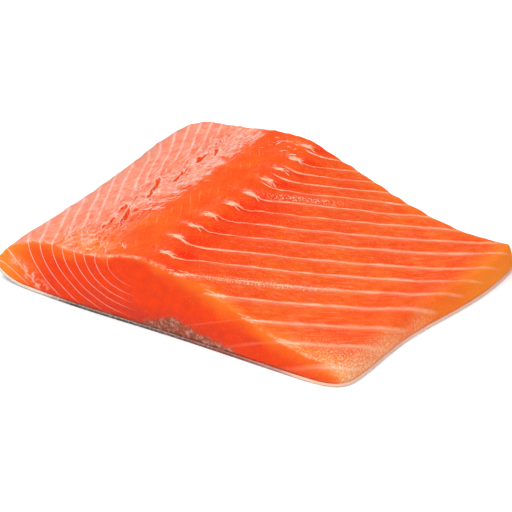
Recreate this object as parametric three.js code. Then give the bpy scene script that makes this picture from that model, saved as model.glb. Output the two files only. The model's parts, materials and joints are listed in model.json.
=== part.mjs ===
// Raw salmon fillet, skin on: a piece cut from the middle of one side of the fish, lying on its skin.
// Millimetres, +Z up. X runs across the fillet from the back edge (low) to the belly edge (high),
// and Y along the fish, from the near cut (low, towards the head) to the far cut (high, towards the tail).
// The origin is the middle of the resting face.
import * as THREE from "three";
import { mergeVertices } from "three/addons/utils/BufferGeometryUtils.js";

// Driving sizes.
const WIDTH = 142; // across the fillet at the near cut, before the belly edge swells
const LENGTH = 108; // along the fish, cut to cut
const CREST_NEAR = 27.4; // thickest point of the near cut
const CREST_FAR = 25.3; // thickest point of the far cut, which is nearer the tail

const SKIN_THICK = 1.0;
const SKIN_PROUD = 0.5; // the skin's rim stands this far outside the flesh
const PIECE_GAP = 0.3; // between skin and flesh
const BACK_LIFT = 3.2; // the skin curls off the surface along the back edge
const BACK_LIFT_SHARE = 0.085; // over this share of the width

const NOSE_BULGE = 1.6; // how far the blunt back edge rounds out
const BACK_WAIST = 1.6; // how far the back edge draws in halfway along
const BELLY_SWELL = 8; // how much further out the belly edge lies towards the far cut
const BELLY_ROUND = { near: 4.5, far: 2.0 }; // how far the belly edge's upper rim is rounded in
const BELLY_ROUND_SHARPNESS = 16; // the higher, the closer to the edge this stays
const NEAR_CUT_SKEW = 4.2; // the near cut isn't square: by the belly it has come this far in
const NEAR_CUT_SLANT = 2.6; // towards the belly the near cut leans back by this much at its upper rim
const CUT_WAVE = 0.4; // the knife's slow wander in both cut faces

// How far each corner of the outline is rounded in.
const CORNER_PULL = { nearBack: 1.1, farBack: 0.8, nearBelly: 3.0, farBelly: 1.4 };
const CORNER_SHARPNESS = 18; // the higher, the tighter the corners' rounding
const EDGE_CROWDING = 0.4; // 0 spaces the grid evenly, towards 1 crowds it at the rims

// Cells of each piece's grid: across, along, up.
const FLESH_CELLS = [32, 26, 3];
const SKIN_CELLS = [24, 18, 1];

// Height of the flesh's upper side as a share of the crest, at shares of the way across:
// back edge, shoulder, dip beside the loin, crest along the pin bones, slope, thin belly flap.
const NEAR_PROFILE = [
  [0.0, 0.29], [0.035, 0.5], [0.09, 0.69], [0.15, 0.79], [0.21, 0.825], [0.28, 0.82], [0.34, 0.88],
  [0.42, 1.0], [0.5, 0.93], [0.6, 0.79], [0.7, 0.59], [0.8, 0.4], [0.91, 0.29], [1.0, 0.25],
];
const FAR_PROFILE = [
  [0.0, 0.28], [0.035, 0.48], [0.09, 0.68], [0.15, 0.77], [0.21, 0.82], [0.28, 0.89], [0.35, 0.96],
  [0.42, 0.96], [0.5, 0.795], [0.6, 0.61], [0.7, 0.43], [0.8, 0.315], [0.91, 0.27], [1.0, 0.33],
];

// A smooth curve through the points of a profile, as a function of the share across.
function curveThrough(points) {
  const shares = points.map(([share]) => share);
  const heights = points.map(([, height]) => height);
  const curve = new THREE.CubicInterpolant(shares, heights, 1);
  return (share) => curve.evaluate(share)[0];
}

const nearHeight = curveThrough(NEAR_PROFILE);
const farHeight = curveThrough(FAR_PROFILE);

// Crowds evenly spaced shares towards both ends.
const crowd = (share) => share - (EDGE_CROWDING / (2 * Math.PI)) * Math.sin(2 * Math.PI * share);
// 1 at one end of a side and almost 0 away from it.
const atStart = (share) => Math.max(0, 1 - 2 * share) ** CORNER_SHARPNESS;
const atEnd = (share) => Math.max(0, 2 * share - 1) ** CORNER_SHARPNESS;
// 1 halfway up a side wall and 0 at its top and bottom.
const roundOut = (rise) => 1 - (2 * rise - 1) ** 2;

// How far the underside is off the surface that the fillet lies on.
function underside(across) {
  const inwards = Math.min(1, across / BACK_LIFT_SHARE);
  return BACK_LIFT * (1 - inwards) ** 2;
}

// Height of the flesh's upper side at a share across and a share along.
function upperSide(across, along) {
  const towardsFar = THREE.MathUtils.lerp(along, THREE.MathUtils.smoothstep(along, 0, 1), 0.4);
  const near = CREST_NEAR * nearHeight(across);
  const far = CREST_FAR * farHeight(across);
  return THREE.MathUtils.lerp(near, far, towardsFar);
}

// Plan position of a point, with its share of the way up the side walls.
function planPoint(across, along, rise) {
  const waist = BACK_WAIST * Math.sin(Math.PI * along);
  const backPull = CORNER_PULL.nearBack * atStart(along) + CORNER_PULL.farBack * atEnd(along);
  const backEdge = -WIDTH / 2 + waist + backPull - NOSE_BULGE * roundOut(rise);

  const swell = BELLY_SWELL * THREE.MathUtils.smoothstep(along, 0.28, 0.84);
  const bellyPull = CORNER_PULL.nearBelly * atStart(along) + CORNER_PULL.farBelly * atEnd(along);
  const bellyEdge = WIDTH / 2 + swell - bellyPull;
  const rounding = THREE.MathUtils.lerp(BELLY_ROUND.near, BELLY_ROUND.far, along);
  const rimIn = rounding * (1 - Math.cos((rise * Math.PI) / 2)) * across ** BELLY_ROUND_SHARPNESS;

  const wave = -CUT_WAVE * Math.sin(3 * Math.PI * across);
  const skew = NEAR_CUT_SKEW * THREE.MathUtils.smoothstep(across, 0.2, 0.95);
  const nearPull = CORNER_PULL.nearBack * atStart(across) + CORNER_PULL.nearBelly * atEnd(across);
  const farPull = CORNER_PULL.farBack * atStart(across) + CORNER_PULL.farBelly * atEnd(across);
  const slant = NEAR_CUT_SLANT * rise * THREE.MathUtils.smoothstep(across, 0.35, 0.7);
  const nearCut = -LENGTH / 2 + skew + slant + nearPull + wave;
  const farCut = LENGTH / 2 - farPull + wave;
  return [
    THREE.MathUtils.lerp(backEdge, bellyEdge, across) - rimIn,
    THREE.MathUtils.lerp(nearCut, farCut, along),
  ];
}

// A closed box of fine cells, whose vertices are moved to place(across, along, rise).
function mouldedBox([cellsAcross, cellsAlong, cellsUp], place) {
  const box = new THREE.BoxGeometry(1, 1, 1, cellsAcross, cellsAlong, cellsUp);
  box.deleteAttribute("normal");
  box.deleteAttribute("uv");
  const solid = mergeVertices(box);
  const position = solid.getAttribute("position");
  for (let i = 0; i < position.count; i += 1) {
    const across = crowd(position.getX(i) + 0.5);
    const along = crowd(position.getY(i) + 0.5);
    const rise = position.getZ(i) + 0.5;
    position.setXYZ(i, ...place(across, along, rise));
  }
  solid.computeVertexNormals();
  return solid;
}

// The muscle: everything above the skin, with two cut faces, a blunt back edge and a thin belly edge.
function flesh() {
  const geometry = mouldedBox(FLESH_CELLS, (across, along, rise) => {
    const [x, y] = planPoint(across, along, rise);
    const bottom = SKIN_THICK + PIECE_GAP + underside(across);
    return [x, y, THREE.MathUtils.lerp(bottom, upperSide(across, along), rise)];
  });
  const material = new THREE.MeshStandardMaterial({ color: 0xf4572a, roughness: 0.35, metalness: 0 });
  const mesh = new THREE.Mesh(geometry, material);
  mesh.name = "flesh";
  return mesh;
}

// The skin under it, one even layer that follows the flesh's lower rim and lies flat on the surface.
function skin() {
  const geometry = mouldedBox(SKIN_CELLS, (across, along, rise) => {
    const [x, y] = planPoint(across, along, 0);
    const outX = SKIN_PROUD * (atEnd(across) - atStart(across));
    const outY = SKIN_PROUD * (atEnd(along) - atStart(along));
    return [x + outX, y + outY, underside(across) + SKIN_THICK * rise];
  });
  const material = new THREE.MeshStandardMaterial({ color: 0x8f9496, roughness: 0.4, metalness: 0 });
  const mesh = new THREE.Mesh(geometry, material);
  mesh.name = "skin";
  return mesh;
}

const fillet = new THREE.Group();
fillet.add(skin(), flesh());

// Put the origin at the middle of the bounding box's lowest face.
const bounds = new THREE.Box3().setFromObject(fillet);
const middle = bounds.getCenter(new THREE.Vector3());
fillet.position.set(-middle.x, -middle.y, -bounds.min.z);

export default fillet;
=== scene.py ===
"""Looks of a raw salmon fillet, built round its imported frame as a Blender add-on that is run as a script.

Metres in the scene; the sizes named below are in millimetres, and MM turns them to metres.
X runs across the fillet, back edge low and belly edge high; Y runs along the fish, near cut low.
"""
import itertools
import json
import random
from functools import partial
from math import cos, radians, sin

import bpy
import numpy as np
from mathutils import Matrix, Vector
from mathutils.bvhtree import BVHTree

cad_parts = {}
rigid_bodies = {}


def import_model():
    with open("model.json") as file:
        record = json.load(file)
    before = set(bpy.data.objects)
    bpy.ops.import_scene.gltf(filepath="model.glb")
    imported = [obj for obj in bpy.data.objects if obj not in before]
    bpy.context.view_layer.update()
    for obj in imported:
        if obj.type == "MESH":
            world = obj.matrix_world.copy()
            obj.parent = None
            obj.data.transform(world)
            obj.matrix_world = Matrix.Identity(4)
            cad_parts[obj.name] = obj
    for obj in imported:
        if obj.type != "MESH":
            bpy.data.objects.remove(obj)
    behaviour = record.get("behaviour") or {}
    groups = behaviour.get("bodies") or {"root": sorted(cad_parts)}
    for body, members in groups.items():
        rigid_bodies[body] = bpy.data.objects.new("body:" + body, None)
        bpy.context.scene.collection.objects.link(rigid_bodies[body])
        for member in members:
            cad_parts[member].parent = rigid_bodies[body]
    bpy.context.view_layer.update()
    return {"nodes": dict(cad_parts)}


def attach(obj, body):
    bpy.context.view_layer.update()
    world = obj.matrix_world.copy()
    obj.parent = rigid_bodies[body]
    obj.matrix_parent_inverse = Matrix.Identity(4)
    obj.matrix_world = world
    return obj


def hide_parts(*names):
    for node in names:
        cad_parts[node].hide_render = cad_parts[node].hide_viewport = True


bl_info = {
    "name": "Raw Salmon Fillet",
    "version": (1, 0, 0),
    "blender": (4, 5, 0),
    "location": "View3D > Sidebar > Fillet",
    "description": "Models the muscle, fat and skin of a raw salmon fillet round its frame",
    "category": "Add Mesh",
}

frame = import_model()
BODY = "root"
MM = 0.001


def linear(hex_colour):
    """An sRGB hex colour as linear red, green and blue."""
    channels = [int(hex_colour[i:i + 2], 16) / 255 for i in (1, 3, 5)]
    return [c / 12.92 if c <= 0.04045 else ((c + 0.055) / 1.055) ** 2.4 for c in channels]


# ---------------------------------------------------------------- sizes and colours


def size_prop(name, description, default):
    return bpy.props.FloatProperty(name=name, description=description, default=default, min=0.0)


def colour_prop(name, description, hex_colour):
    return bpy.props.FloatVectorProperty(
        name=name, description=description, default=linear(hex_colour), subtype="COLOR", size=3, min=0, max=1
    )


class FilletSizes(bpy.types.PropertyGroup):
    """Sizes in millimetres."""

    flake_groove: size_prop("Flake groove", "Depth of the groove along each fat line, mm", 0.12)
    flake_step: size_prop("Flake step", "Drop from each flake to the next one, by the pin bones, mm", 0.3)
    crevice_depth: size_prop("Crevice depth", "Depth of the torn crevices along the loin, mm", 1.7)
    tear_relief: size_prop("Tear relief", "Height of the torn fibres beside the crevices, mm", 0.55)
    hollow_depth: size_prop("Hollow depth", "Depth of the hollows between the pin bones' tufts, mm", 0.55)
    skin_gap: size_prop("Skin gap", "How far the flesh comes down to touch the skin, mm", 0.28)
    surface_swell: size_prop("Surface swell", "Height of the flesh's gentle lumps, mm", 0.35)
    wet_grain: size_prop("Wet grain", "Height of the fine wet grain, mm", 0.07)


class FilletColours(bpy.types.PropertyGroup):
    """Colours, given as sRGB and kept as linear values."""

    muscle: colour_prop("Muscle", "Orange flesh of the belly side", "#F35A22")
    # Also painted shade: the deeper colour in the hollows between the pin bones' tufts.
    muscle_deep_and_shade: colour_prop("Deep muscle", "Saturated flesh beside the pin bones", "#F0300C")
    muscle_loin: colour_prop("Loin muscle", "Smooth flesh between the seam and the pin bones", "#F4520F")
    # The back's paleness is partly a pale fatty film and partly painted sheen, standing for the white room's
    # reflection on the back's slope.
    muscle_back_and_sheen: colour_prop("Back muscle", "Pale, cloudy flesh of the back", "#F2A58F")
    crevice: colour_prop("Crevice", "Deep orange inside the torn crevices", "#F4500E")
    # Also painted glow: the yellow band below the near cut's rim, where light shining through the flesh is
    # painted in.
    muscle_thin_and_glow: colour_prop("Thin muscle", "Translucent yellow flesh where the fillet thins out", "#F78A26")
    muscle_cut: colour_prop("Cut face", "Redder flesh of the cut faces", "#EC4212")
    # Also painted shade: the duller red low on the cut faces, towards the skin.
    dull_red_and_shade: colour_prop("Low muscle", "Duller red of the cut faces over the dark muscle", "#C43A2A")
    margin: colour_prop("Belly margin", "Pale, thin edge of the belly over the skin", "#FFBE88")
    dark_muscle: colour_prop("Dark muscle", "Grey-brown fatty muscle over the skin", "#864E3C")
    dark_fat: colour_prop("Dark muscle fat", "Pinkish fat through the dark muscle", "#D9A593")
    # Also painted highlights: the glints on wet places and the fine specks over the flesh.
    fat: colour_prop("Fat", "White lines between the flakes", "#FFC8A4")
    tuft: colour_prop("Pin-bone fat", "Creamy tufts of fat round the pin bones", "#FFD3B0")
    # Also painted highlights: the pale lips of the crevices and small spots low on the near cut's left end.
    shred_and_highlight: colour_prop("Shreds", "Whitish shreds of membrane on the torn patch", "#FFD6CA")
    fibre: colour_prop("Torn fibre", "Pale torn fibres on the loin", "#FBA88E")
    skin_silver: colour_prop("Skin silver", "Silvery scales of the belly side", "#D3CDC6")
    skin_blue: colour_prop("Skin back", "Blue-grey scales of the back", "#66707A")
    # Also painted shade on the middle of the skin's near edge.
    skin_dark_and_shade: colour_prop("Skin dark", "Dark mottling of the scales", "#4A4642")
    skin_fat: colour_prop("Skin fat", "Pale fat at the cut edge of the skin", "#F3DDD0")
    stained: colour_prop("Stained edge", "Red-brown edge of the skin under the belly's flesh", "#9C4433")
    skin_belly: colour_prop("Skin belly", "Pink, see-through skin along the belly's edge", "#F4BFA6")


# ---------------------------------------------------------------- the fish's own pattern, in millimetres

CREST_Z = 26.0  # height of the crest along the pin bones
SEAM_X = -41.0  # the loin's torn seam runs along the fish here

# The belly's fat lines: where the first crosses the pin-bone row's line, and each flake's width after it.
BELLY_FIRST = -126.8
BELLY_WIDTHS = (15, 15, 13.3, 14.4, 12.1, 10.6, 10.0, 11.6, 9.6, 9.8, 9.1, 8.3, 7.5) + (7.0,) * 5
# The same for the back's, which are cones round the seam between back and belly.
BACK_FIRST = -212.0
BACK_WIDTHS = (11, 12, 11, 10.8, 7.7, 13.4, 11.1, 11.3, 9.0, 10.2, 9.0, 9.3, 11.3, 7.5, 9.4) + (9.2,) * 13
BACK_CONE = {"x": -16.0, "z": 22.0, "squash": 1.5, "slope": 3.2}

# Where each pin bone has left a tuft of fat, (x, y), and the way the tufts lie, as (x, y) of length 1.
PIN_BONES = (
    (-3.6, -52.8), (-8.6, -43.1), (-11.0, -32.5), (-11.6, -22.5), (-11.2, -12.7), (-9.6, -1.9),
    (-8.2, 8.7), (-8.7, 20.4), (-9.3, 29.7), (-10.1, 39.5), (-10.9, 49.4),
)
TUFT_WAY = (0.83, 0.55)

# The torn patch's edge on the belly side: y along the fish and x there.
TORN_EDGE = ((-25, -8, 8, 34, 46), (-38.5, -37, -32, -31, -32))

# Torn fibres: middle (x, y), spread (x, y), how many, lean off the fish's length and swing either way
# in degrees, and the longest.
TORN_AREAS = (
    ((-47.0, 0.0), (2.0, 44.0), 50, -14, 16, 7.0),
    ((-34.0, 14.0), (2.5, 32.0), 130, 26, 34, 5.5),
    ((-41.0, -45.5), (9.0, 4.5), 22, -34, 10, 7.0),
    ((-16.0, 45.0), (4.5, 6.0), 20, 40, 40, 3.6),
)

# Softboxes: name, place and diameter in metres, and watts.
SOFTBOXES = (
    ("key", (-0.55, -0.25, 1.25), 0.9, 12.0),
    ("front", (0.8, -0.9, 0.8), 0.9, 3.5),
    ("glint", (-0.7, 1.05, 0.75), 0.14, 0.12),
)
# Angles in degrees from -Y and from the floor, distance in metres, target and lens in millimetres.
CAMERA = {"azimuth": 33.5, "elevation": 31.0, "distance": 1.2, "target": (-1.0, 1.0, 5.3), "lens": 239.3}


def smoothstep(low, high, value):
    """0 up to low, 1 from high on, and smooth between; low may be the greater."""
    t = np.clip((value - low) / (high - low), 0, 1)
    return t * t * (3 - 2 * t)


def bump(centre, half_width, value):
    """1 at the centre, falling smoothly to almost 0 at twice the half width."""
    return np.exp(-(((value - centre) / half_width) ** 2))


def grain(points, size, seed):
    """Smooth noise from -1 to 1 in lumps about size millimetres across; size may be one number per axis."""
    p = points / np.asarray(size) + 31.7 * seed
    cell = np.floor(p).astype(np.int64)
    f = p - cell
    f = f * f * (3 - 2 * f)
    total = np.zeros(len(p))
    for corner in itertools.product((0, 1), repeat=3):
        c = cell + corner
        key = (c[:, 0] * 73856093) ^ (c[:, 1] * 19349663) ^ (c[:, 2] * 83492791)
        key = (key * 1103515245 + 12345) & 0x7FFFFFFF
        key = ((key >> 9) ^ key) * 69069 & 0x7FFFFFFF
        weight = np.prod(np.where(corner, f, 1 - f), axis=1)
        total += weight * ((key >> 8) % 4096 / 2047.5 - 1)
    return total


def soft_ramp(value, softness):
    """0 below zero and value above it, with a rounded turn."""
    return (value + np.sqrt(value * value + softness * softness)) / 2


def count_lines(across, first, widths):
    """Turns a distance across the flakes into a count of flakes: whole numbers are the fat lines."""
    lines = first + np.concatenate([[0], np.cumsum(widths)])
    return np.interp(across, lines, np.arange(len(lines)))


def belly_flake(p):
    """Which belly flake a point is in. The fat between flakes leans to the far cut as it goes down."""
    x, y, z = p.T
    run = 0.62 * soft_ramp(x + 8, 3) - 1.2 * (z - CREST_Z)
    hook = 3.6 * bump(-11, 5.5, x)
    across = y - run - hook + 0.5 * grain(p, 26, 1) + 0.25 * grain(p, 8, 2)
    return count_lines(across, BELLY_FIRST, BELLY_WIDTHS)


def back_radius(p):
    """Distance from the middle line of the loin, round which the back's flakes are nested as cones."""
    x, _, z = p.T
    # Towards the back's edge the flakes turn outwards.
    turned_out = 0.03 * np.clip(-56 - x, 0, None) ** 2
    aside = (np.abs(x - BACK_CONE["x"]) - turned_out) / BACK_CONE["squash"]
    return np.sqrt(aside ** 2 + (z - BACK_CONE["z"]) ** 2)


def back_flake(p):
    """Which back flake a point is in."""
    across = p[:, 1] - BACK_CONE["slope"] * back_radius(p)
    return count_lines(across + 1.2 * grain(p, 20, 3) + 0.5 * grain(p, 7, 4), BACK_FIRST, BACK_WIDTHS)


# ---------------------------------------------------------------- helpers


def from_node(node, name):
    """A new object with its own merged, four-sided copy of a frame node's mesh."""
    bpy.ops.object.select_all(action="DESELECT")
    source = frame["nodes"][node]
    mesh = source.data.copy()
    mesh.name = name
    mesh.materials.clear()
    piece = bpy.data.objects.new(name, mesh)
    bpy.context.scene.collection.objects.link(piece)
    bpy.context.view_layer.objects.active = piece
    piece.select_set(True)
    bpy.ops.object.mode_set(mode="EDIT")
    bpy.ops.mesh.select_all(action="SELECT")
    bpy.ops.mesh.remove_doubles(threshold=1e-6)
    bpy.ops.mesh.customdata_custom_splitnormals_clear()
    bpy.ops.mesh.tris_convert_to_quads(face_threshold=0.9, shape_threshold=1.2)
    bpy.ops.mesh.select_all(action="DESELECT")
    bpy.ops.object.mode_set(mode="OBJECT")
    return piece


def select_faces(piece, test):
    """Selects, in object mode, the faces whose normal and centre pass the test."""
    piece.data.polygons.foreach_set("select", [test(f.normal, f.center) for f in piece.data.polygons])


def apply_modifier(piece, kind, **settings):
    modifier = piece.modifiers.new(kind.title(), kind)
    for key, value in settings.items():
        setattr(modifier, key, value)
    bpy.context.view_layer.objects.active = piece
    bpy.ops.object.modifier_apply(modifier=modifier.name)


def vertex_places(mesh):
    """Places in millimetres and normals of all vertices."""
    places = np.empty(len(mesh.vertices) * 3, np.float32)
    mesh.vertices.foreach_get("co", places)
    normals = np.empty(len(mesh.vertices) * 3, np.float32)
    mesh.vertex_normals.foreach_get("vector", normals)
    return places.reshape(-1, 3).astype(float) / MM, normals.reshape(-1, 3).astype(float)


def set_places(mesh, places):
    mesh.vertices.foreach_set("co", (places * MM).astype(np.float32).ravel())
    mesh.update()


def paint(mesh, name, values):
    """Stores one number per vertex for the material to read."""
    mesh.attributes.new(name, "FLOAT", "POINT").data.foreach_set("value", values.astype(np.float32))


def finish_piece(piece, material, nodes=()):
    """Gives a piece its material, and tells the frame its body and the nodes it replaces."""
    piece.data.materials.clear()
    piece.data.materials.append(material)
    bpy.ops.object.select_all(action="DESELECT")
    piece.select_set(True)
    bpy.context.view_layer.objects.active = piece
    bpy.ops.object.shade_smooth()
    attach(piece, BODY)
    if nodes:
        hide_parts(*nodes)


# ---------------------------------------------------------------- materials


def new_material(name):
    material = bpy.data.materials.new(name)
    material.use_nodes = True
    material.node_tree.nodes.clear()
    return material


def add(tree, kind, inputs=(), out=0, **settings):
    """Adds a shader node, sets its properties, and sets or links its inputs, given in order or by name.
    Returns one of its outputs, for other nodes to be linked to."""
    node = tree.nodes.new("ShaderNode" + kind)
    for key, value in settings.items():
        setattr(node, key, value)
    for key, value in inputs.items() if isinstance(inputs, dict) else enumerate(inputs):
        if isinstance(value, bpy.types.NodeSocket):
            tree.links.new(value, node.inputs[key])
        else:
            node.inputs[key].default_value = value
    return node.outputs[out] if node.outputs else None


def rgba(colour):
    return (*colour, 1.0)


def layered_colour(tree, base, layers):
    """Lays colours over a base one after another. Each layer is a colour and its shares, which multiply."""
    below = rgba(base)
    for colour, share, *others in layers:
        for other in others:
            share = add(tree, "Math", [share, other], operation="MULTIPLY")
        below = add(tree, "Mix", {0: share, 6: below, 7: rgba(colour)}, out=2, data_type="RGBA")
    return below


def raw_salmon_muscle(colours, masks):
    """Raw salmon muscle: moist, translucent and orange, with white fat between the flakes. Light passes a few
    millimetres into it, so its shadows glow; a thin film of water gives small, sharp highlights. Its colour
    also
    holds painted light: sheen on the back, glow below the near rim, shade in the hollows and low on the cut
    faces, and small highlights and glints."""
    material = new_material("raw_salmon_muscle")
    node = partial(add, material.node_tree)
    painted = {name: node("Attribute", out=2, attribute_name=name) for name in masks}
    place = node("TexCoord", out="Object")

    # Coordinates drawn out along fibres: their direction in degrees from X, and how many times as long.
    # Torn fibres run along the fish; beside the seam they lean to the back, on the patch to the belly.
    combed = {
        name: node("Mapping", {
            "Vector": place, "Rotation": (0, 0, radians(angle)), "Scale": (stretch, 1.0, 1.5),
        }, vector_type="TEXTURE")
        for name, angle, stretch in (
            ("seam", 102, 5.0), ("patch", 62, 4.0), ("back", 94, 8.0), ("gash", 100, 3.0),
            ("fluff", 34, 3.0), ("tuft", 30, 3.0), ("belly", 41, 7.0),
        )
    }

    # Noises: coordinates, size of the lumps in millimetres, detail, roughness and distortion.
    noise = {
        name: node("TexNoise", {"Vector": at, "Scale": 1 / (size * MM), "Detail": detail,
                                "Roughness": roughness, "Distortion": distortion})
        for name, (at, size, detail, roughness, distortion) in {
            "broad": (place, 14.0, 3.0, 0.6, 0.0),
            "lumps": (place, 6.0, 3.0, 0.55, 0.0),
            "cloud": (place, 3.0, 5.0, 0.7, 0.0),
            "fine": (place, 0.9, 3.0, 0.6, 0.0),
            "line_width": (place, 8.0, 2.0, 0.5, 0.0),
            "line_breaks": (place, 3.0, 2.0, 0.5, 0.0),
            "rim_fat": (place, 2.4, 4.0, 0.6, 0.0),
            "blotches": (place, 2.4, 3.0, 0.6, 0.0),
            "grit": (place, 1.5, 4.0, 0.7, 0.0),
            "glint_beads": (place, 0.6, 2.0, 0.6, 0.0),
            "specks": (place, 0.65, 2.0, 0.6, 0.0),
            "wet_grain": (place, 0.7, 3.0, 0.65, 0.0),
            "gloss": (place, 4.0, 2.0, 0.5, 0.0),
            "fibres": (combed["seam"], 1.1, 5.0, 0.7, 0.6),
            "shreds": (combed["patch"], 0.9, 4.0, 0.7, 0.8),
            "back_fibres": (combed["back"], 1.0, 3.0, 0.6, 0.3),
            "belly_fibres": (combed["belly"], 1.0, 4.0, 0.65, 0.0),
            "gash": (combed["gash"], 0.9, 3.0, 0.6, 0.0),
            "fluff": (combed["fluff"], 0.8, 4.0, 0.7, 0.5),
            "tuft": (combed["tuft"], 1.0, 4.0, 0.7, 0.3),
        }.items()
    }

    # Distance to the nearest fat line as a share of a flake's width: signed, and unsigned with a fine wobble.
    wobble = node("Math", [noise["fine"], 0.022, -0.011], operation="MULTIPLY_ADD")
    from_line, near_line = {}, {}
    for name in ("belly_flake", "back_flake", "loin_flake"):
        turned = node("Math", [painted[name], 0.5], operation="ADD")
        fraction = node("Math", [turned], operation="FRACT")
        from_line[name] = node("Math", [fraction, 0.5], operation="SUBTRACT")
        wobbling = node("Math", [from_line[name], wobble], operation="ADD")
        near_line[name] = node("Math", [wobbling], operation="ABSOLUTE")

    # Towards the edge the belly's lines are wider and softer, and each swells in places.
    wider = node("MapRange", [noise["line_width"], 0.36, 0.66, 0.0, 0.05], interpolation_type="SMOOTHSTEP")
    belly_width = node("Math", [painted["belly_soft"], 0.075, 0.022], operation="MULTIPLY_ADD")
    belly_width = node("Math", [belly_width, wider], operation="ADD")
    belly_reach = node("Math", [near_line["belly_flake"], belly_width], operation="DIVIDE")
    back_width = node("Math", [painted["back_top"], 0.12, 0.06], operation="MULTIPLY_ADD")
    near_side = node("Math", [from_line["belly_flake"], 0.0], operation="LESS_THAN")

    # The crevices' and the tufts' painted shapes get ragged outlines.
    ragged_gash = node("Math", [noise["gash"], 2.2, -1.1], operation="MULTIPLY_ADD")
    gash = node("Math", [ragged_gash, painted["crevice"], painted["crevice"]], operation="MULTIPLY_ADD")
    ragged_tuft = node("Math", [noise["tuft"], 4.0, -2.0], operation="MULTIPLY_ADD")
    tuft = node("Math", [painted["tuft"], ragged_tuft], operation="ADD")

    # Shares from 0 to 1: what each follows, and the values of it that give 0 and 1.
    share = {
        name: node("MapRange", [value, low, high], interpolation_type="SMOOTHSTEP")
        for name, (value, low, high) in {
            "belly_line": (belly_reach, 1.05, 0.15),
            "belly_halo": (from_line["belly_flake"], -0.3, 0.0),
            "back_line": (near_line["back_flake"], back_width, 0.0),
            "thread": (near_line["loin_flake"], 0.07, 0.0),
            "rim_fat": (noise["rim_fat"], 0.38, 0.68),
            "broad": (noise["broad"], 0.38, 0.62),
            "lumps": (noise["lumps"], 0.3, 0.7),
            "cloud": (noise["cloud"], 0.35, 0.65),
            "blotches": (noise["blotches"], 0.46, 0.62),
            "grit": (noise["grit"], 0.45, 0.65),
            "glint_beads": (noise["glint_beads"], 0.5, 0.6),
            "specks": (noise["specks"], 0.54, 0.7),
            "pale_streaks": (noise["fibres"], 0.42, 0.6),
            "deep_streaks": (noise["fibres"], 0.44, 0.36),
            "pale_shreds": (noise["shreds"], 0.53, 0.62),
            "deep_shreds": (noise["shreds"], 0.44, 0.37),
            "pale_fibres": (noise["belly_fibres"], 0.5, 0.68),
            "deep_fibres": (noise["belly_fibres"], 0.48, 0.34),
            "deep_back_fibres": (noise["back_fibres"], 0.46, 0.38),
            # The lips: a pale ring round each gash, painted highlight on the crevices' edges.
            "lips": (gash, 0.22, 0.45),
            "gash": (gash, 0.52, 0.62),
            "fluff": (noise["fluff"], 0.36, 0.56),
            "tuft": (tuft, 0.5, 0.95),
        }.items()
    }

    # Values held within limits: what each follows, what it is multiplied by, and what is added.
    held = {
        name: node("Math", [value, times, plus], operation="MULTIPLY_ADD")
        for name, (value, times, plus) in {
            "deep_and_hollow_shade": (share["lumps"], 0.3, 0.7),
            "pale": (share["cloud"], 0.5, 0.5),
            "low_shade": (share["cloud"], 0.35, 0.65),
            "dark": (share["cloud"], -0.3, 1.0),
            "margin": (share["glint_beads"], 0.4, 0.6),
            "specks": (painted["cut"], -0.08, 0.13),
            "wet_grain": (painted["wet"], 1.8, 0.6),
            "roughness": (noise["gloss"], 0.2, 0.24),
        }.items()
    }

    unbroken = node("MapRange", [noise["line_breaks"], 0.3, 0.62, 0.6, 1.0], interpolation_type="SMOOTHSTEP")
    fat_line = node("Math", [share["belly_line"], painted["belly_lines"]], operation="MULTIPLY")
    fat_line = node("Math", [fat_line, unbroken], operation="MULTIPLY")
    rim_fat = node("Math", [painted["rim_fat"], share["rim_fat"]], operation="MULTIPLY")
    fat = node("Math", [fat_line, rim_fat], operation="ADD", use_clamp=True)
    # The stronger of the painted glow below the near cut's rim and the thin tip's yellow.
    glow = node("Math", [painted["rim_glow"], painted["tip"]], operation="MAXIMUM")

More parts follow.
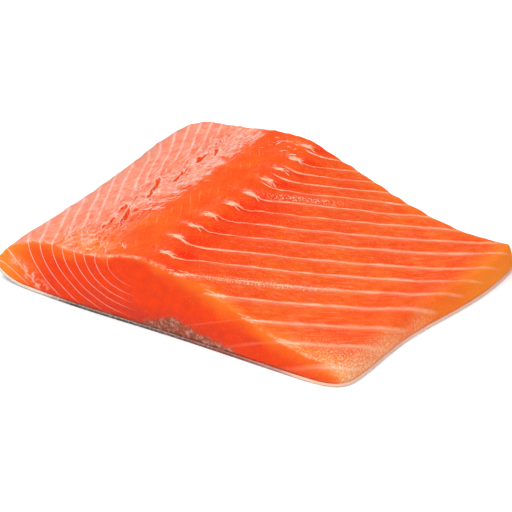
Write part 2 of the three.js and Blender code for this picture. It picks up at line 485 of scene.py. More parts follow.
    colour = layered_colour(material.node_tree, colours.muscle, [
        (colours.muscle_loin, painted["loin"]),
        (colours.muscle_thin_and_glow, share["broad"], 0.24),
        (colours.muscle_deep_and_shade, share["cloud"], 0.22),
        # Saturated flesh by the pin bones, and painted shade in the hollows between the tufts.
        (colours.muscle_deep_and_shade, painted["deep_and_hollow_shade"], held["deep_and_hollow_shade"]),
        # The pale back and torn patch. On the back this is partly a fatty film and partly painted sheen, the
        # white room's reflection on its slope.
        (colours.muscle_back_and_sheen, painted["pale"], held["pale"]),
        (colours.muscle_back_and_sheen, painted["haze"], share["pale_streaks"], 0.32),
        (colours.muscle_thin_and_glow, painted["thin"]),
        (colours.muscle_cut, painted["cut"]),
        (colours.dull_red_and_shade, painted["cut"], share["cloud"], 0.3),
        # Painted shade low on the cut faces.
        (colours.dull_red_and_shade, painted["low_shade"], held["low_shade"]),
        # Painted glow below the near cut's rim, and the thin tip's yellow.
        (colours.muscle_thin_and_glow, glow),
        (colours.muscle_deep_and_shade, painted["belly_halo"], share["deep_fibres"], 0.34),
        (colours.fat, painted["belly_halo"], share["pale_fibres"], 0.14),
        # The fat thins out into the flake on its near side only.
        (colours.fat, painted["belly_halo"], share["belly_halo"], near_side, 0.24),
        (colours.muscle_loin, painted["torn"], share["deep_streaks"], 0.7),
        (colours.muscle_loin, painted["rake"], share["deep_back_fibres"], 0.6),
        (colours.fat, painted["loin_lines"], share["thread"], 0.34),
        (colours.fibre, painted["torn"], share["pale_streaks"], 0.55),
        (colours.muscle_loin, painted["patch"], share["deep_shreds"], 0.75),
        (colours.shred_and_highlight, painted["patch"], share["pale_shreds"], 0.72),
        # Painted highlight on the crevices' lips.
        (colours.shred_and_highlight, share["lips"], 0.55),
        (colours.crevice, share["gash"]),
        (colours.margin, painted["margin"], held["margin"]),
        (colours.dark_muscle, painted["dark"], held["dark"]),
        (colours.dark_fat, painted["dark"], share["grit"], 0.62),
        # Painted highlights: small pale spots low on the near cut's left end.
        (colours.shred_and_highlight, painted["blotch"], share["blotches"], 0.75),
        # Painted fine highlights: white specks over the flesh, fewer on the cut faces.
        (colours.fat, share["specks"], held["specks"]),
        # Painted glints: white dots in the fat's colour where the flesh is wet.
        (colours.fat, painted["wet"], share["glint_beads"], 0.85),
        (colours.shred_and_highlight, painted["back_lines"], share["back_line"], unbroken, 0.9),
        (colours.fat, fat, 0.92),
        (colours.tuft, painted["tuft"], share["tuft"], share["fluff"], 1.3),
    ])

    # Wet grain: fibres under half a millimetre, drawn a little coarser so that they show.
    height = node("Math", [noise["wet_grain"], held["wet_grain"]], operation="MULTIPLY")
    height = node("Math", [fat, 0.5, height], operation="MULTIPLY_ADD")
    pulled = node("Math", [noise["fibres"], noise["shreds"]], operation="ADD")
    pulled = node("Math", [pulled, 2.5], operation="MULTIPLY")
    height = node("Math", [painted["torn"], pulled, height], operation="MULTIPLY_ADD")
    relief = node("Bump", {"Height": height, "Strength": 0.45, "Distance": 0.25 * MM})
    moist = node("Math", [painted["wet"], painted["tuft"]], operation="MAXIMUM")
    film = node("Math", [moist, 0.75, 0.15], operation="MULTIPLY_ADD")
    shader = node("BsdfPrincipled", {
        "Base Color": colour, "Roughness": held["roughness"], "IOR": 1.38, "Normal": relief,
        "Specular IOR Level": 0.05,
        "Subsurface Weight": 0.3, "Subsurface Radius": (1.0, 0.25, 0.1), "Subsurface Scale": 2.5 * MM,
        "Coat Weight": film, "Coat Roughness": 0.08, "Coat IOR": 1.33,
    })
    node("OutputMaterial", {"Surface": shader})
    return material


def fibrous(name, pale, rich):
    """Loose strands of fat or torn muscle: pale, a little see-through, and finely streaked, so they read as
    fluff lying on the darker flesh."""
    material = new_material(name)
    node = partial(add, material.node_tree)
    place = node("TexCoord", out="Object")
    streaks = node("TexNoise", {"Vector": place, "Scale": 1 / (1.2 * MM), "Detail": 3.0})
    share = node("MapRange", [streaks, 0.4, 0.65], interpolation_type="SMOOTHSTEP")
    shader = node("BsdfPrincipled", {
        "Base Color": layered_colour(material.node_tree, pale, [(rich, share)]),
        "Roughness": 0.35, "IOR": 1.38, "Specular IOR Level": 0.4,
        "Subsurface Weight": 0.1, "Subsurface Radius": (1.0, 0.5, 0.3), "Subsurface Scale": 0.5 * MM,
    })
    node("OutputMaterial", {"Surface": shader})
    return material


def salmon_skin(colours, masks):
    """Scaled salmon skin: silver plates with dark grey mottling under a wet film, so it glints like foil.
    Its cut edge shows white fat above and speckled scales below, and the middle of the near edge is darkened
    with painted shade."""
    material = new_material("salmon_skin")
    node = partial(add, material.node_tree)
    painted = {name: node("Attribute", out=2, attribute_name=name) for name in masks}
    place = node("TexCoord", out="Object")
    scales = node("TexVoronoi", {"Vector": place, "Scale": 1 / (2.4 * MM)}, feature="F1")
    scale_edges = node("MapRange", [scales, 0.35, 0.75], interpolation_type="SMOOTHSTEP")

    # Patches of noise: size in millimetres, and the values that give 0 and 1.
    patches = {
        name: node("MapRange", [
            node("TexNoise", {"Vector": place, "Scale": 1 / (size * MM), "Detail": 4.0}), low, high,
        ], interpolation_type="SMOOTHSTEP")
        for name, size, low, high in (
            ("mottling", 6.0, 0.5, 0.66), ("fat", 1.6, 0.4, 0.6), ("specks", 0.9, 0.36, 0.54),
        )
    }
    # Values held within limits: what each follows, what it is multiplied by, and what is added.
    held = {
        name: node("Math", [value, times, plus], operation="MULTIPLY_ADD")
        for name, (value, times, plus) in {
            # Where the near edge is painted in shade, less of its fat shows and more specks.
            "rim_fat": (painted["shaded"], -0.7, 0.9),
            "rim_specks": (painted["shaded"], 0.8, 0.2),
            "upper_fat": (painted["shaded"], -0.7, 1.0),
            "patchy_fat": (patches["fat"], -0.5, 1.0),
            "metallic": (painted["rim"], -0.25, 0.25),
        }.items()
    }
    edge = node("Math", [painted["upper_rim"], painted["rim"]], operation="MAXIMUM")
    colour = layered_colour(material.node_tree, colours.skin_silver, [
        (colours.skin_blue, painted["back"], 0.85),
        (colours.skin_dark_and_shade, scale_edges, 0.45),
        (colours.skin_dark_and_shade, patches["mottling"], 0.55),
        (colours.skin_fat, painted["rim"], held["rim_fat"]),
        (colours.skin_dark_and_shade, painted["rim"], patches["specks"], held["rim_specks"]),
        # Painted shade on the middle of the near edge.
        (colours.skin_dark_and_shade, painted["shaded"], 0.45),
        (colours.skin_fat, painted["upper_rim"], held["patchy_fat"], held["upper_fat"]),
        (colours.stained, painted["stained"], 0.7),
        (colours.skin_belly, edge, painted["belly"]),
    ])
    relief = node("Bump", {"Height": scales, "Strength": 0.5, "Distance": 0.2 * MM})
    shader = node("BsdfPrincipled", {
        "Base Color": colour, "Roughness": 0.32, "Metallic": held["metallic"], "IOR": 1.45,
        "Specular IOR Level": 0.25, "Normal": relief,
    })
    node("OutputMaterial", {"Surface": shader})
    return material


# ---------------------------------------------------------------- pieces


class FILLET_OT_flesh(bpy.types.Operator):
    """Model the flesh: a fine copy of the frame's solid with flakes, crevices and torn fibres carved in"""

    bl_idname = "fillet.flesh"
    bl_label = "Flesh"

    def execute(self, context):
        sizes, colours = context.scene.fillet_sizes, context.scene.fillet_colours
        piece = from_node("flesh", "flesh_carved")
        self.thin_out_underside(piece)
        self.crease_rims(piece)
        apply_modifier(piece, "SUBSURF", levels=3, render_levels=3)
        places, normals = vertex_places(piece.data)
        masks = self.paint_masks(piece.data, places, normals)
        self.carve(piece.data, places, normals, sizes)
        finish_piece(piece, raw_salmon_muscle(colours, masks), ["flesh"])
        return {"FINISHED"}

    def thin_out_underside(self, piece):
        """Joins the hidden underside's inner cells into one face, as fine cells are of no use there."""
        select_faces(piece, lambda normal, centre: normal.z < -0.8)
        bpy.ops.object.mode_set(mode="EDIT")
        bpy.ops.mesh.select_mode(type="FACE")
        bpy.ops.mesh.select_less()
        bpy.ops.mesh.select_less()
        bpy.ops.mesh.dissolve_faces()
        bpy.ops.object.mode_set(mode="OBJECT")

    def crease_rims(self, piece):
        """Keeps the knife's edges and the rim over the skin crisp. The other edges stay round."""
        for test in (lambda normal, _: abs(normal.y) > 0.7, lambda normal, _: normal.z < -0.8):
            select_faces(piece, test)
            bpy.ops.object.mode_set(mode="EDIT")
            bpy.ops.mesh.select_mode(type="FACE")
            bpy.ops.mesh.region_to_loop()
            bpy.ops.transform.edge_crease(value=0.5)
            bpy.ops.mesh.select_all(action="DESELECT")
            bpy.ops.object.mode_set(mode="OBJECT")

    def paint_masks(self, mesh, p, n):
        """Paints what the material reads: counts of flakes, and shares from 0 to 1. Returns their names."""
        x, y, z = p.T
        top = smoothstep(0.25, 0.6, n[:, 2])
        near = smoothstep(0.45, 0.75, -n[:, 1])
        far = smoothstep(0.45, 0.75, n[:, 1])
        cut = np.maximum(near, far)
        uneven = grain(p, 12, 11)
        fade = grain(p, 5, 12)
        loin_flake = (y + 1.5 * (x + 20) + 2.2 * grain(p, 12, 16)) / 6.3
        masks = {"belly_flake": belly_flake(p), "back_flake": back_flake(p), "loin_flake": loin_flake}
        masks["loin_lines"] = top * bump(-23, 7, x) * smoothstep(-0.1, 0.6, grain(p, (6, 5, 9), 17))

        lines_top = smoothstep(-12, -8, x) * top * (1 - 0.45 * smoothstep(15, 70, x)) * (0.78 + 0.3 * fade)
        lines_cut = 0.11 * cut * smoothstep(0, 14, x) * smoothstep(0, 6, z)
        masks["belly_lines"] = np.maximum(lines_top, lines_cut)
        masks["belly_soft"] = smoothstep(5, 60, x)
        masks["belly_halo"] = top * smoothstep(-4, 14, x) * smoothstep(74, 60, x) * (1 + 0.5 * uneven)
        from_middle = back_radius(p)
        aim = (BACK_CONE["x"] - x) / BACK_CONE["squash"] / (from_middle + 0.1)
        in_loin = 0.5 * smoothstep(4.4, 6.0, from_middle) + 0.5 * smoothstep(7.0, 8.4, from_middle)
        in_loin *= smoothstep(-0.1, 0.4, aim)
        back_top = 0.62 * top * smoothstep(-43, -49, x + 3 * uneven) * (1 + 0.35 * fade)
        back_cut = 0.75 * cut * smoothstep(1, 4, z) * in_loin
        back_side = 0.4 * smoothstep(0.5, 0.8, -n[:, 0])
        masks["back_lines"] = np.maximum.reduce([back_top, back_cut, back_side])
        masks["back_top"] = top

        masks["loin"] = top * smoothstep(-4, -14, x + 3 * uneven)
        # The back is pale partly from a fatty film and partly from painted sheen, the white room's reflection
        # on its slope.
        pale = smoothstep(-37, -50, x + 4 * uneven) * (0.85 + 0.15 * bump(-8, 24, y))
        patch = self.torn_patch(x, y, fade + 1.1 * grain(p, 2.2, 15))
        fan = bump(-39, 11, x) * bump(-48, 8, y)
        masks["pale"] = top * np.maximum(pale, patch) * (1 - 0.75 * fan)
        masks["torn"] = top * np.clip(bump(SEAM_X + 3, 7, x + 3 * uneven) + 0.8 * patch + 0.9 * fan, 0, 1)
        masks["rake"] = top * bump(-49, 7, x + 2 * uneven) * smoothstep(58, 30, y)
        masks["patch"] = top * np.clip(patch + 0.7 * bump(SEAM_X + 2, 6, x + 3 * uneven) + 0.7 * fan, 0, 1)
        hollows = self.hollows(x, y)
        # The saturated band beside the pin bones, and painted shade in the hollows between the tufts.
        deep_and_hollow_shade = 0.75 * bump(-1, 12, x) * (0.6 + 0.4 * smoothstep(40, 0, y)) + 0.8 * hollows
        masks["deep_and_hollow_shade"] = top * deep_and_hollow_shade
        edge = smoothstep(62, 76, x + 2 * uneven) * smoothstep(-40, -10, y)
        edge += 0.5 * smoothstep(48, 56, y + uneven) * smoothstep(-10, 20, x)
        edge += 0.9 * bump(60, 12, x) * bump(-46, 8, y)
        edge *= (0.6 + 0.3 * smoothstep(10, 40, y)) * (1 - near)
        masks["thin"] = edge + 0.75 * fan * top * (0.7 + 0.6 * fade)
        masks["tip"] = 0.85 * near * smoothstep(-46, -74, x + 2 * fade) ** 1.4
        margin = smoothstep(62, 73, x + 2.5 * uneven - 0.08 * (y + 20))
        masks["margin"] = margin * smoothstep(8, -12, y) * (1 - 0.6 * near)
        masks["cut"] = cut * smoothstep(-72, -56, x)
        rim_z, rim_y = self.near_rim(p, near)
        below_rim = rim_z - z
        # Painted glow: a yellow band below the near cut's rim, and along the rim on the top, stands for light
        # shining through the flesh's edge.
        reach = 12 * bump(-74, 26, x) + 3.0 + 7 * bump(14, 18, x) + 4 * smoothstep(28, 45, x)
        glow = 0.7 * smoothstep(1.0, -0.3, (below_rim + 1.8 * fade) / reach) * (1 + 0.35 * uneven)
        glow *= near * (0.5 + 0.55 * np.maximum(bump(-70, 26, x), bump(22, 26, x)))
        by_rim = bump(0, 4.0, y - rim_y - 0.6 * grain(p, 4, 14)) * smoothstep(-4, 12, x)
        masks["rim_glow"] = np.maximum(glow, 0.75 * top * by_rim * (0.7 + 0.5 * uneven))
        above_dark = z - self.dark_height(x) + 1.1 * fade + 0.8 * grain(p, 1.6, 13)
        masks["dark"] = cut * smoothstep(1.3, -1.0, above_dark)
        # Painted shade: the cut faces turn duller red towards the bottom.
        masks["low_shade"] = cut * smoothstep(13, 2, z + 2 * uneven) * bump(-8, 32, x)
        masks["crevice"] = top * (self.crevices(p) + 1) / 2
        rim = smoothstep(0.9, 0.0, below_rim + 0.3 * fade) * np.maximum(near, bump(0.4, 0.8, y - rim_y))
        flake = masks["belly_flake"]
        line_ends = bump(0, 0.13, flake - np.round(flake)) * smoothstep(-6, 0, x)
        along_rim = 0.8 * smoothstep(-66, -58, x) * smoothstep(0, -6, x) + 0.5 * smoothstep(12, 26, x)
        masks["rim_fat"] = rim * np.maximum(along_rim, line_ends)
        # Wet places get more coat and grain, and white glints painted in: at the belly's corner, along two
        # strips and over the margin.
        corner = 0.8 * bump(60, 12, x - 0.2 * y - 8) * bump(-43, 9, y)
        strips = bump(4.93, 0.15, flake) * bump(22, 15, x) + bump(11.35, 0.2, flake) * bump(5, 8, x)
        masks["wet"] = (corner + 1.5 * strips + 0.9 * masks["margin"]) * (1 - near)
        # Painted highlights: small pale spots low on the near cut's left end.
        masks["blotch"] = near * bump(-59, 7, x) * bump(6, 2.6, z + 0.5 * (x + 59))
        frays = 0.9 * line_ends * bump(2.0, 3.0, y - rim_y) * (below_rim < 1.5)
        masks["tuft"] = np.maximum(top * self.by_pin_bones(x, y, (0, 0), 3.4, 1.5, 0.12), frays)
        masks["haze"] = top * self.haze(x, y)
        for name, values in masks.items():
            paint(mesh, name, values if name.endswith("flake") else np.clip(values, 0, 1))
        return list(masks)

    def torn_patch(self, x, y, ragged):
        """1 on the pale patch where the membrane has torn off, between the seam and a ragged edge."""
        edge = np.interp(y, *TORN_EDGE) + 2.6 * ragged
        inside = smoothstep(1.6, -1.6, x - edge) * smoothstep(-47, -43, x)
        return inside * smoothstep(-31, -19, y + 3 * ragged)

    def by_pin_bones(self, x, y, shift, half_length, half_width, skew=0.0):
        """1 in an oval by each pin bone, shifted from it and lying the way of its tuft."""
        total = np.zeros(len(x))
        for pin_x, pin_y in PIN_BONES:
            dx, dy = x - pin_x - shift[0], y - pin_y - shift[1]
            along = dx * TUFT_WAY[0] + dy * TUFT_WAY[1]
            aside = dy * TUFT_WAY[0] - dx * TUFT_WAY[1] + skew * along
            total = np.maximum(total, bump(0, half_length, along) * bump(0, half_width, aside))
        return total

    def hollows(self, x, y):
        """1 in the hollows between the tufts, which are carved and also given a deeper, saturated colour as
        painted shade.
        """
        return self.by_pin_bones(x, y, (5.2, 2.6), 3.6, 1.9)

    def haze(self, x, y):
        """1 in the thin fat that spreads from each tuft towards the loin."""
        total = np.zeros(len(x))
        for pin_x, pin_y in PIN_BONES:
            spread = bump(pin_x - 2.5, 3.6, x) * bump(pin_y + 1.2, 1.9, y - 0.3 * (x - pin_x))
            total = np.maximum(total, spread)
        return total

    def near_rim(self, p, near):
        """Height and y of the near cut's upper rim over every point, from the cut's highest points."""
        x, y, z = p[near > 0.5].T
        stops = np.linspace(x.min(), x.max(), 60)
        nearest = np.clip(np.searchsorted(stops, x), 1, len(stops) - 1)
        heights = np.full(len(stops), 0.0)
        np.maximum.at(heights, nearest, z)
        rim_y = np.full(len(stops), -99.0)
        np.maximum.at(rim_y, nearest, np.where(z > heights[nearest] - 2, y, -99.0))
        heights[0], rim_y[0] = heights[1], rim_y[1]
        return np.interp(p[:, 0], stops, heights), np.interp(p[:, 0], stops, rim_y)

    def dark_height(self, x):
        """How high the dark muscle reaches on a cut: a low peak that runs out along the skin."""
        left = np.clip((x + 24) / 23, 0, 1)
        right = np.clip((40 - x) / 41, 0, 1)
        return 0.5 + 7.0 * np.minimum(left ** 2.2, right ** 1.9)

    def crevices(self, p):
        """1 along the middle of each torn crevice of the loin's seam, falling evenly to 0 at its lips and on
        to -1. They are short gashes, each turned a little off the seam."""
        x, y, z = p.T
        total = np.full(len(p), -1.0)
        wander = 0.7 * grain(p, 4, 21)
        for i, middle in enumerate(np.arange(-32.0, 46.0, 5.7)):
            turn = radians(10 + 12 * sin(2.4 * i))
            dx = x - SEAM_X - 2.8 * sin(1.9 * i) + wander
            dy = y - middle - 2.0 * sin(3.1 * i)
            along = dy * cos(turn) - dx * sin(turn)
            aside = dx * cos(turn) + dy * sin(turn)
            half_length = 6.4 + 2.6 * sin(2.7 * i)
            lips = (0.75 + 0.25 * sin(1.3 * i)) * np.clip(1 - (along / half_length) ** 2, 0.05, 1)
            tent = np.where(np.abs(along) < half_length, 1 - np.abs(aside) / lips, -1.0)
            total = np.maximum(total, tent)
        return np.where(z > 10, total, -1.0)

    def carve(self, mesh, p, n, sizes):
        """Moves every point along its normal, for the flakes, hollows, crevices, torn fibres and grain."""
        x, y, z = p.T
        top = smoothstep(0.25, 0.6, n[:, 2])
        shown = smoothstep(-0.6, -0.2, n[:, 2])
        flake = belly_flake(p)
        from_line = flake - np.round(flake)
        in_flake = flake - np.floor(flake)
        on_belly = smoothstep(-11, -5, x)
        lift = -sizes.flake_groove * bump(0, 0.05, from_line) * on_belly * top
        lift += 0.15 * np.cos(2 * np.pi * from_line + np.pi) * on_belly * top
        lift += sizes.flake_step * (0.5 - in_flake) * bump(-3, 8, x) * top
        lift -= sizes.hollow_depth * self.hollows(x, y) * top
        back = back_flake(p)
        lift += 0.1 * np.cos(2 * np.pi * (back - np.round(back))) * smoothstep(-36, -46, x) * top
        lift -= sizes.crevice_depth * np.clip(self.crevices(p) + 0.1, 0, 1)

        slanted = p.copy()
        slanted[:, 0] += 0.25 * y
        leaning = p.copy()
        leaning[:, 0] -= 0.48 * y
        inside = smoothstep(55, 46, y)
        seam = bump(SEAM_X + 2, 8, x) * top * inside
        patch = self.torn_patch(x, y, grain(p, 5, 12)) + bump(-38, 14, x) * bump(-49, 8, y)
        patch = np.clip(patch, 0, 1) * top * inside
        fibres = grain(slanted, (1.5, 9.0, 6.0), 31) + 0.7 * grain(slanted, (0.9, 4.0, 3.0), 32)
        strands = grain(leaning, (1.7, 8.0, 6.0), 37) + 0.8 * grain(leaning, (1.0, 3.5, 3.0), 38)
        lift += sizes.tear_relief * (seam * fibres + patch * strands)
        lift += 0.3 * sizes.tear_relief * top * grain(leaning, (2.2, 6.0, 6.0), 36)
        lift += sizes.surface_swell * (grain(p, 15, 33) + 0.4 * grain(p, 5.5, 34)) * shown
        lift += sizes.wet_grain * grain(p, 1.6, 35) * shown
        moved = p + n * lift[:, None]
        # The underside comes down onto the skin.
        moved[:, 2] -= sizes.skin_gap * smoothstep(-0.3, -0.6, n[:, 2])
        set_places(mesh, moved)


class FILLET_OT_strands(bpy.types.Operator):
    """Model the loose strands: fat round the pin bones and on the near cut's rim, and torn fibres"""

    bl_idname = "fillet.strands"
    bl_label = "Strands"

    def execute(self, context):
        colours = context.scene.fillet_colours
        flesh = bpy.data.objects["flesh_carved"]
        ground = BVHTree.FromObject(flesh, context.evaluated_depsgraph_get())
        strand = self.strand()
        picker = random.Random(5)
        fat = fibrous("salmon_fat", colours.tuft, colours.fat)
        torn = fibrous("torn_salmon_fibre", colours.shred_and_highlight, colours.fibre)
        self.lay("pin_bone_fat", strand, ground, self.pin_bone_tufts(picker), fat)
        self.lay("rim_fat", strand, ground, self.rim_tufts(picker, ground), fat)
        self.lay("torn_fibres", strand, ground, self.torn_fibres(picker), torn)
        bpy.data.objects.remove(strand)
        return {"FINISHED"}

    def strand(self):
        """One strand, a spindle a unit long and a unit thick that lies along X."""
        bpy.ops.object.select_all(action="DESELECT")
        bpy.ops.mesh.primitive_uv_sphere_add(segments=6, ring_count=8, radius=0.5)
        strand = bpy.context.object
        bpy.ops.transform.rotate(value=radians(90), orient_axis="Y", center_override=(0, 0, 0))
        bpy.ops.object.transform_apply(location=False, rotation=True, scale=False)
        return strand

    def pin_bone_tufts(self, picker):
        """Strands as (x, y, turn, length, width, bend): a thick core and a few wisps for each pin bone."""
        for pin_x, pin_y in PIN_BONES:
            size = picker.uniform(0.85, 1.15)
            lean = radians(34 + picker.uniform(-8, 8))
            for i in range(4):
                aside = (i - 1.5) * 0.42
                yield (pin_x - aside * sin(lean), pin_y + aside * cos(lean),
                       lean + picker.uniform(-0.22, 0.22), size * picker.uniform(2.4, 4.6),
                       picker.uniform(0.2, 0.36), picker.uniform(-0.14, 0.04))
            for _ in range(7):
                yield (pin_x + picker.uniform(-1.8, 1.6), pin_y + picker.uniform(-1.3, 1.3),
                       lean + picker.uniform(-0.5, 0.5), size * picker.uniform(1.8, 3.6),
                       picker.uniform(0.14, 0.26), picker.uniform(-0.15, 0.15))
            # The tail that turns into the fat line.
            for i in range(2):
                yield (pin_x + 2.6 + 0.5 * i, pin_y - 0.2 - 0.4 * i,
                       lean - 0.9 + picker.uniform(-0.1, 0.1), size * picker.uniform(2.4, 3.6),
                       picker.uniform(0.16, 0.28), picker.uniform(0.05, 0.12))

    def rim_tufts(self, picker, ground):
        """Frayed ends of the belly's fat lines at the near cut's rim."""
        across = np.arange(-6.0, 62.0, 0.5)
        rim = np.array([self.rim_place(ground, x) for x in across])
        flakes = np.floor(belly_flake(rim))
        for i in np.flatnonzero(np.diff(flakes)):
            for _ in range(8):
                x = rim[i, 0] + picker.uniform(-1.5, 3.5)
                y = np.interp(x, rim[:, 0], rim[:, 1])
                yield (x, y + 0.4 + picker.uniform(0.2, 0.6) * (x - rim[i, 0] + 1.5),
                       radians(picker.uniform(15, 45)), picker.uniform(1.0, 2.6),
                       picker.uniform(0.1, 0.24), picker.uniform(-0.15, 0.15))

    def rim_place(self, ground, x):
        """Where the near cut's rim is at x: the first place from the cut where the ground faces up."""
        for y in np.arange(-58.0, -40.0, 0.25):
            hit, normal, _, _ = ground.ray_cast(Vector((x * MM, y * MM, 0.1)), Vector((0, 0, -1)))
            if hit is not None and normal.z > 0.65:
                return (x, float(y), hit.z / MM)
        raise ValueError(f"no rim found at x = {x}")

    def torn_fibres(self, picker):
        """Fibres pulled loose along the seam, on the torn patch and at the crest's far end."""
        for (x, y), (spread_x, spread_y), count, lean, swing, longest in TORN_AREAS:
            for _ in range(count):
                yield (picker.gauss(x, spread_x), picker.uniform(y - spread_y, y + spread_y),
                       radians(90 - lean + picker.uniform(-swing, swing)),
                       picker.uniform(0.35, 1.0) * longest,
                       picker.uniform(0.15, 0.5), picker.uniform(-0.2, 0.2))

    def lay(self, name, strand, ground, strands, material):
        """Copies the strand along each line, bends every copy onto the flesh, and joins the copies.
        A strand that would hang over an edge or stand on a steep place is left out."""
        shape, _ = vertex_places(strand.data)
        shape = shape * MM
        taper = (1 - np.abs(2 * shape[:, 0]) ** 1.5) ** 0.6 * 0.75 + 0.25
        copies = []
        for x, y, turn, length, width, bend in strands:
            along = shape[:, 0] * length
            aside = shape[:, 1] * width * taper + bend * length * (2 * shape[:, 0]) ** 2
            places = np.empty_like(shape)
            places[:, 0] = x + along * cos(turn) - aside * sin(turn)
            places[:, 1] = y + along * sin(turn) + aside * cos(turn)
            hits = [ground.ray_cast(Vector((a * MM, b * MM, 0.1)), Vector((0, 0, -1))) for a, b, _ in places]
            if any(hit is None or normal.z < 0.55 for hit, normal, _, _ in hits):
                continue
            heights = np.array([hit.z / MM for hit, _, _, _ in hits])
            if heights.min() < 5 or np.ptp(heights) > 2.5:
                continue
            places[:, 2] = heights + 0.45 * width * taper * (shape[:, 2] + 0.05)
            copy = strand.copy()
            copy.data = strand.data.copy()
            bpy.context.scene.collection.objects.link(copy)
            set_places(copy.data, places)
            copies.append(copy)
        bpy.ops.object.select_all(action="DESELECT")
        for copy in copies:
            copy.select_set(True)
        bpy.context.view_layer.objects.active = copies[0]
        bpy.ops.object.join()
        copies[0].name = name
        finish_piece(copies[0], material)


class FILLET_OT_skin(bpy.types.Operator):
    """Model the skin: a smooth copy of the frame's thin layer, with crisp rims"""

    bl_idname = "fillet.skin"
    bl_label = "Skin"

    def execute(self, context):
        piece = from_node("skin", "skin_scaled")
        bpy.ops.object.mode_set(mode="EDIT")
        bpy.ops.mesh.select_mode(type="EDGE")
        bpy.ops.mesh.edges_select_sharp(sharpness=radians(38))
        bpy.ops.transform.edge_crease(value=0.7)
        bpy.ops.mesh.select_all(action="DESELECT")
        bpy.ops.object.mode_set(mode="OBJECT")
        apply_modifier(piece, "SUBSURF", levels=2, render_levels=2)
        p, n = vertex_places(piece.data)
        near = smoothstep(2.2, 1.0, p[:, 1] - self.near_edge(p))
        # The middle of the near edge is painted in shade: darker, with less white fat showing.
        near_middle = near * smoothstep(-56, -38, p[:, 0]) * smoothstep(40, 22, p[:, 0])
        masks = {
            "rim": smoothstep(-0.75, -0.25, n[:, 2]),
            "upper_rim": smoothstep(0.25, 0.6, n[:, 2]),
            "shaded": near_middle,
            "back": smoothstep(10, -50, p[:, 0]),
            "belly": smoothstep(40, 56, p[:, 0]),
            "stained": smoothstep(-20, 24, p[:, 0]) * smoothstep(58, 40, p[:, 0]) * near,
        }
        for name, values in masks.items():
            paint(piece.data, name, values)
        finish_piece(piece, salmon_skin(context.scene.fillet_colours, masks), ["skin"])
        return {"FINISHED"}

    def near_edge(self, p):
        """y of the skin's near edge, over every point."""
        stops = np.linspace(p[:, 0].min(), p[:, 0].max(), 50)
        nearest = np.clip(np.searchsorted(stops, p[:, 0]), 1, len(stops) - 1)
        edge = np.full(len(stops), 99.0)
        np.minimum.at(edge, nearest, p[:, 1])
        edge[0] = edge[1]
        return np.interp(p[:, 0], stops, edge)


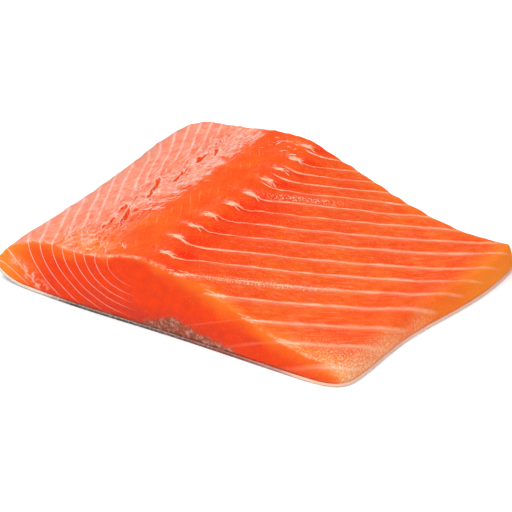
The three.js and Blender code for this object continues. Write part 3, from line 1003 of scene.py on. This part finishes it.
class FILLET_OT_stage(bpy.types.Operator):
    """Set the pale floor, the soft studio light and the camera"""

    bl_idname = "fillet.stage"
    bl_label = "Stage"

    def execute(self, context):
        bpy.ops.object.select_all(action="DESELECT")
        bpy.ops.mesh.primitive_plane_add(size=6.0, location=(0, 0, -0.0002))
        floor = context.object
        floor.name = "floor"
        material = new_material("white_paper")
        tree = material.node_tree
        # The wet flesh mirrors the paper only faintly, as under a polarised light.
        mirrored = add(tree, "LightPath", out="Is Glossy Ray")
        white = layered_colour(tree, (0.95, 0.95, 0.95), [((0.1, 0.1, 0.1), mirrored)])
        glow = add(tree, "Mix", {0: mirrored, 2: 0.2, 3: 0.0}, data_type="FLOAT")
        paper = add(tree, "BsdfPrincipled", {
            "Base Color": white, "Roughness": 0.9, "Emission Color": (1, 1, 1, 1), "Emission Strength": glow,
        })
        add(tree, "OutputMaterial", {"Surface": paper})
        floor.data.materials.append(material)

        self.room(context)
        for name, place, size, watts in SOFTBOXES:
            self.softbox(name, place, size, watts)
        context.scene.view_settings.view_transform = "Standard"
        context.scene.view_settings.look = "None"
        self.camera(context)
        return {"FINISHED"}

    def room(self, context):
        """A white room with bright walls and a dimmer ceiling, which the wet flesh mirrors only faintly."""
        world = bpy.data.worlds.new("white_room")
        context.scene.world = world
        world.use_nodes = True
        tree = world.node_tree
        tree.nodes.clear()
        direction = add(tree, "TexCoord", out="Generated")
        height = add(tree, "SeparateXYZ", [direction], out="Z")
        walls = add(tree, "MapRange", [height, 0.1, 0.6, 0.9, 0.5])
        mirrored = add(tree, "LightPath", out="Is Glossy Ray")
        seen = add(tree, "LightPath", out="Is Camera Ray")
        strength = add(tree, "Mix", {0: mirrored, 2: walls, 3: 0.05}, data_type="FLOAT")
        strength = add(tree, "Mix", {0: seen, 2: strength, 3: 1.0}, data_type="FLOAT")
        light = add(tree, "Background", {"Color": (1, 1, 1, 1), "Strength": strength})
        add(tree, "OutputWorld", {"Surface": light})

    def softbox(self, name, place, size, watts):
        data = bpy.data.lights.new(name, "AREA")
        data.shape = "DISK"
        data.size = size
        data.energy = watts
        light = bpy.data.objects.new(name, data)
        bpy.context.scene.collection.objects.link(light)
        light.location = place
        light.rotation_euler = Vector(place).to_track_quat("Z", "Y").to_euler()

    def camera(self, context):
        azimuth, elevation = radians(CAMERA["azimuth"]), radians(CAMERA["elevation"])
        back = Vector((
            sin(azimuth) * cos(elevation),
            -cos(azimuth) * cos(elevation),
            sin(elevation),
        ))
        data = bpy.data.cameras.new("camera")
        data.sensor_width = 36
        data.lens = CAMERA["lens"]
        camera = bpy.data.objects.new("camera", data)
        context.scene.collection.objects.link(camera)
        camera.location = Vector(CAMERA["target"]) * MM + back * CAMERA["distance"]
        camera.rotation_euler = back.to_track_quat("Z", "Y").to_euler()
        context.scene.camera = camera


class FILLET_PT_panel(bpy.types.Panel):
    bl_label = "Raw salmon fillet"
    bl_idname = "FILLET_PT_panel"
    bl_space_type = "VIEW_3D"
    bl_region_type = "UI"
    bl_category = "Fillet"

    def draw(self, context):
        for operator in OPERATORS:
            self.layout.operator(operator.bl_idname)


OPERATORS = (FILLET_OT_flesh, FILLET_OT_strands, FILLET_OT_skin, FILLET_OT_stage)
CLASSES = (FilletSizes, FilletColours, *OPERATORS, FILLET_PT_panel)


def register():
    for cls in CLASSES:
        bpy.utils.register_class(cls)
    bpy.types.Scene.fillet_sizes = bpy.props.PointerProperty(type=FilletSizes)
    bpy.types.Scene.fillet_colours = bpy.props.PointerProperty(type=FilletColours)


def unregister():
    del bpy.types.Scene.fillet_sizes
    del bpy.types.Scene.fillet_colours
    for cls in reversed(CLASSES):
        bpy.utils.unregister_class(cls)


def main():
    register()
    bpy.ops.fillet.flesh()
    bpy.ops.fillet.strands()
    bpy.ops.fillet.skin()
    bpy.ops.fillet.stage()


if __name__ == "__main__":
    main()
